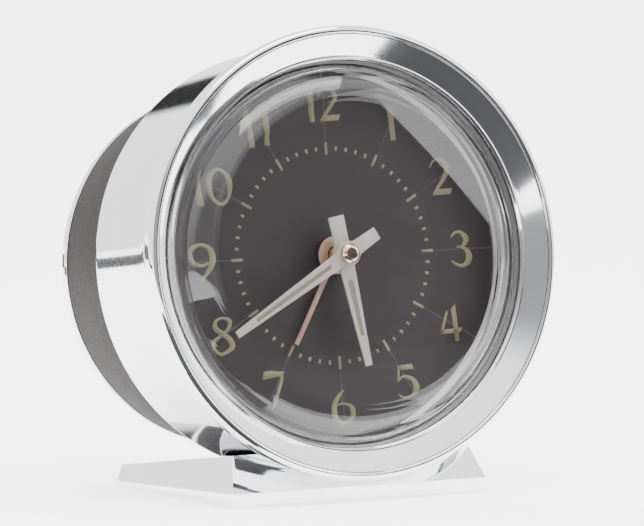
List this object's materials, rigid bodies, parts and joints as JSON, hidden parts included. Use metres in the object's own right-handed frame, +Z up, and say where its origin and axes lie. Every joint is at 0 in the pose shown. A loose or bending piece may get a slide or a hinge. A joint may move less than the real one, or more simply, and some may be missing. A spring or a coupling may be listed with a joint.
{
  "type": "wind-up alarm clock",
  "caption": "Round chrome alarm clock on a faceted wedge stand, with a domed crystal, dark dial, working hands, wound and set by keys and knobs at the back.",
  "frame": {"origin": "on the floor, under the middle of the whole clock", "axes": "+Z up, dial faces -Y and leans back, +X to the right seen from the front"},
  "size_m": [0.0862, 0.074, 0.0897],
  "materials": {
    "chrome": "polished chrome plate",
    "clear_crystal": "clear moulded plastic",
    "grey_ring": "satin",
    "dial_print": "matt, printed numerals",
    "hand_paint": "satin, beige luminous inserts",
    "copper": "satin copper",
    "polished_brass": "polished",
    "shell_paint": "fine-textured metallic paint",
    "pad_rubber": "matt",
    "steel": "turned and ground",
    "blued_steel": "tempered spring",
    "wheel_brass": "machined",
    "key_brass": "stamped and plated",
    "black_knob": "moulded, fluted",
    "nickel_button": "nickel plate"
  },
  "bodies": {
    "case": {"front_bezel": "chrome", "crystal": "clear_crystal", "crystal_retainer": "grey_ring", "dial": "dial_print", "case_band": "chrome", "back_shell": "shell_paint", "back_rim": "chrome", "back_cover": "shell_paint", "cover_screws": "steel", "cover_posts": "wheel_brass", "base_stand": "chrome", "base_pad": "pad_rubber", "base_screws": "steel", "front_plate": "wheel_brass", "back_plate": "wheel_brass", "plate_pillars": "wheel_brass", "pillar_nuts": "steel", "minute_wheel_post": "steel", "balance_bearing": "wheel_brass", "time_mainspring": "blued_steel", "alarm_mainspring": "blued_steel", "hairspring": "blued_steel"},
    "minute_shaft": {"centre_arbor": "steel", "centre_wheel": "wheel_brass", "cannon_pinion": "steel", "minute_hand": "hand_paint", "hand_cap": "polished_brass", "time_set_knob": "black_knob"},
    "hour_pipe": {"hour_wheel": "wheel_brass", "hour_hand": "hand_paint"},
    "minute_wheel_set": {"minute_wheel": "wheel_brass"},
    "time_great": {"time_great_wheel": "wheel_brass"},
    "time_winder": {"time_winding_arbor": "steel", "time_ratchet": "steel", "time_winding_key": "key_brass"},
    "time_pawl": {"time_click": "steel"},
    "third": {"third_arbor": "steel", "third_wheel": "wheel_brass"},
    "fourth": {"fourth_arbor": "steel", "fourth_wheel": "wheel_brass"},
    "escape": {"escape_arbor": "steel", "escape_wheel": "wheel_brass"},
    "pallets": {"pallet_lever": "steel"},
    "balance": {"balance_staff": "steel", "balance_wheel": "wheel_brass"},
    "regulator": {"regulator_lever": "steel"},
    "alarm_pipe": {"alarm_wheel": "wheel_brass", "alarm_hand": "copper"},
    "alarm_setter": {"alarm_set_arbor": "steel", "alarm_set_knob": "black_knob"},
    "alarm_great": {"alarm_great_wheel": "wheel_brass"},
    "alarm_winder": {"alarm_winding_arbor": "steel", "alarm_ratchet": "steel", "alarm_winding_key": "key_brass"},
    "alarm_pawl": {"alarm_click": "steel"},
    "alarm_escape": {"alarm_escape_arbor": "steel", "alarm_escape_wheel": "wheel_brass"},
    "hammer": {"alarm_hammer": "steel"},
    "silencer": {"silence_button": "nickel_button"}
  },
  "joints": [
    {"name": "minute_hand_turn", "type": "hinge", "parent": "case", "child": "minute_shaft", "pos_m": [0, -0.00576, 0.04402], "axis": [0, -0.9938, 0.1115], "continuous": true},
    {"name": "hour_hand_turn", "type": "hinge", "parent": "case", "child": "hour_pipe", "pos_m": [0, -0.00576, 0.04402], "axis": [0, -0.9938, 0.1115], "continuous": true},
    {"name": "minute_wheel_turn", "type": "hinge", "parent": "case", "child": "minute_wheel_set", "pos_m": [-0.00737, -0.00634, 0.03889], "axis": [0, -0.9938, 0.1115], "continuous": true},
    {"name": "time_great_wheel_turn", "type": "hinge", "parent": "case", "child": "time_great", "pos_m": [-0.01232, -0.00661, 0.03642], "axis": [0, -0.9938, 0.1115], "continuous": true},
    {"name": "time_winding", "type": "hinge", "parent": "time_great", "child": "time_winder", "pos_m": [-0.01232, -0.00661, 0.03642], "axis": [0, -0.9938, 0.1115], "continuous": true},
    {"name": "time_click_lift", "type": "hinge", "parent": "time_great", "child": "time_pawl", "pos_m": [-0.00583, -0.00433, 0.0388], "axis": [0, -0.9938, 0.1115], "range_deg": [-7, 0]},
    {"name": "third_wheel_turn", "type": "hinge", "parent": "case", "child": "third", "pos_m": [-0.01247, -0.00496, 0.05117], "axis": [0, -0.9938, 0.1115], "continuous": true},
    {"name": "fourth_wheel_turn", "type": "hinge", "parent": "case", "child": "fourth", "pos_m": [-0.00335, -0.0041, 0.05877], "axis": [0, -0.9938, 0.1115], "continuous": true},
    {"name": "escape_wheel_turn", "type": "hinge", "parent": "case", "child": "escape", "pos_m": [0.00651, -0.0042, 0.05792], "axis": [0, -0.9938, 0.1115], "continuous": true},
    {"name": "balance_swing", "type": "hinge", "parent": "case", "child": "balance", "pos_m": [0.0205, -0.00305, 0.05025], "axis": [0, -0.9938, 0.1115], "range_deg": [-30, 30]},
    {"name": "pallet_rock", "type": "hinge", "parent": "case", "child": "pallets", "pos_m": [0.01197, -0.00254, 0.05479], "axis": [0, -0.9938, 0.1115], "range_deg": [-5.8, 5.8]},
    {"name": "regulator_turn", "type": "hinge", "parent": "case", "child": "regulator", "pos_m": [0.0205, -0.00305, 0.05025], "axis": [0, -0.9938, 0.1115], "range_deg": [-20, 20]},
    {"name": "alarm_hand_turn", "type": "hinge", "parent": "case", "child": "alarm_pipe", "pos_m": [0, -0.00576, 0.04402], "axis": [0, -0.9938, 0.1115], "continuous": true},
    {"name": "alarm_setting_turn", "type": "hinge", "parent": "case", "child": "alarm_setter", "pos_m": [0, -0.00738, 0.02961], "axis": [0, -0.9938, 0.1115], "continuous": true},
    {"name": "alarm_great_wheel_turn", "type": "hinge", "parent": "case", "child": "alarm_great", "pos_m": [0.01232, -0.00661, 0.03642], "axis": [0, -0.9938, 0.1115], "continuous": true},
    {"name": "alarm_winding", "type": "hinge", "parent": "alarm_great", "child": "alarm_winder", "pos_m": [0.01232, -0.00661, 0.03642], "axis": [0, -0.9938, 0.1115], "continuous": true},
    {"name": "alarm_click_lift", "type": "hinge", "parent": "alarm_great", "child": "alarm_pawl", "pos_m": [0.01881, -0.00433, 0.0388], "axis": [0, -0.9938, 0.1115], "range_deg": [-7, 0]},
    {"name": "alarm_escape_turn", "type": "hinge", "parent": "case", "child": "alarm_escape", "pos_m": [0.01832, -0.00777, 0.02609], "axis": [0, -0.9938, 0.1115], "continuous": true},
    {"name": "hammer_swing", "type": "hinge", "parent": "case", "child": "hammer", "pos_m": [0.02321, -0.00558, 0.02764], "axis": [0, -0.9938, 0.1115], "range_deg": [-3.3, 7]},
    {"name": "silence_button_slide", "type": "slide", "parent": "case", "child": "silencer", "axis": [0, 0.9938, -0.1115], "range_m": [-0.001, 0.003]}
  ],
  "couplings": [
    {"joint": "hour_hand_turn", "follows": "minute_hand_turn", "ratio": 0.083333},
    {"joint": "minute_wheel_turn", "follows": "minute_hand_turn", "ratio": -0.33333},
    {"joint": "time_great_wheel_turn", "follows": "minute_hand_turn", "ratio": -0.20833},
    {"joint": "third_wheel_turn", "follows": "minute_hand_turn", "ratio": -8},
    {"joint": "fourth_wheel_turn", "follows": "minute_hand_turn", "ratio": 60},
    {"joint": "escape_wheel_turn", "follows": "minute_hand_turn", "ratio": -600},
    {"joint": "pallet_rock", "follows": "balance_swing", "ratio": -0.186},
    {"joint": "alarm_setting_turn", "follows": "alarm_hand_turn", "ratio": -3.8333},
    {"joint": "alarm_escape_turn", "follows": "alarm_great_wheel_turn", "ratio": -5}
  ]
}
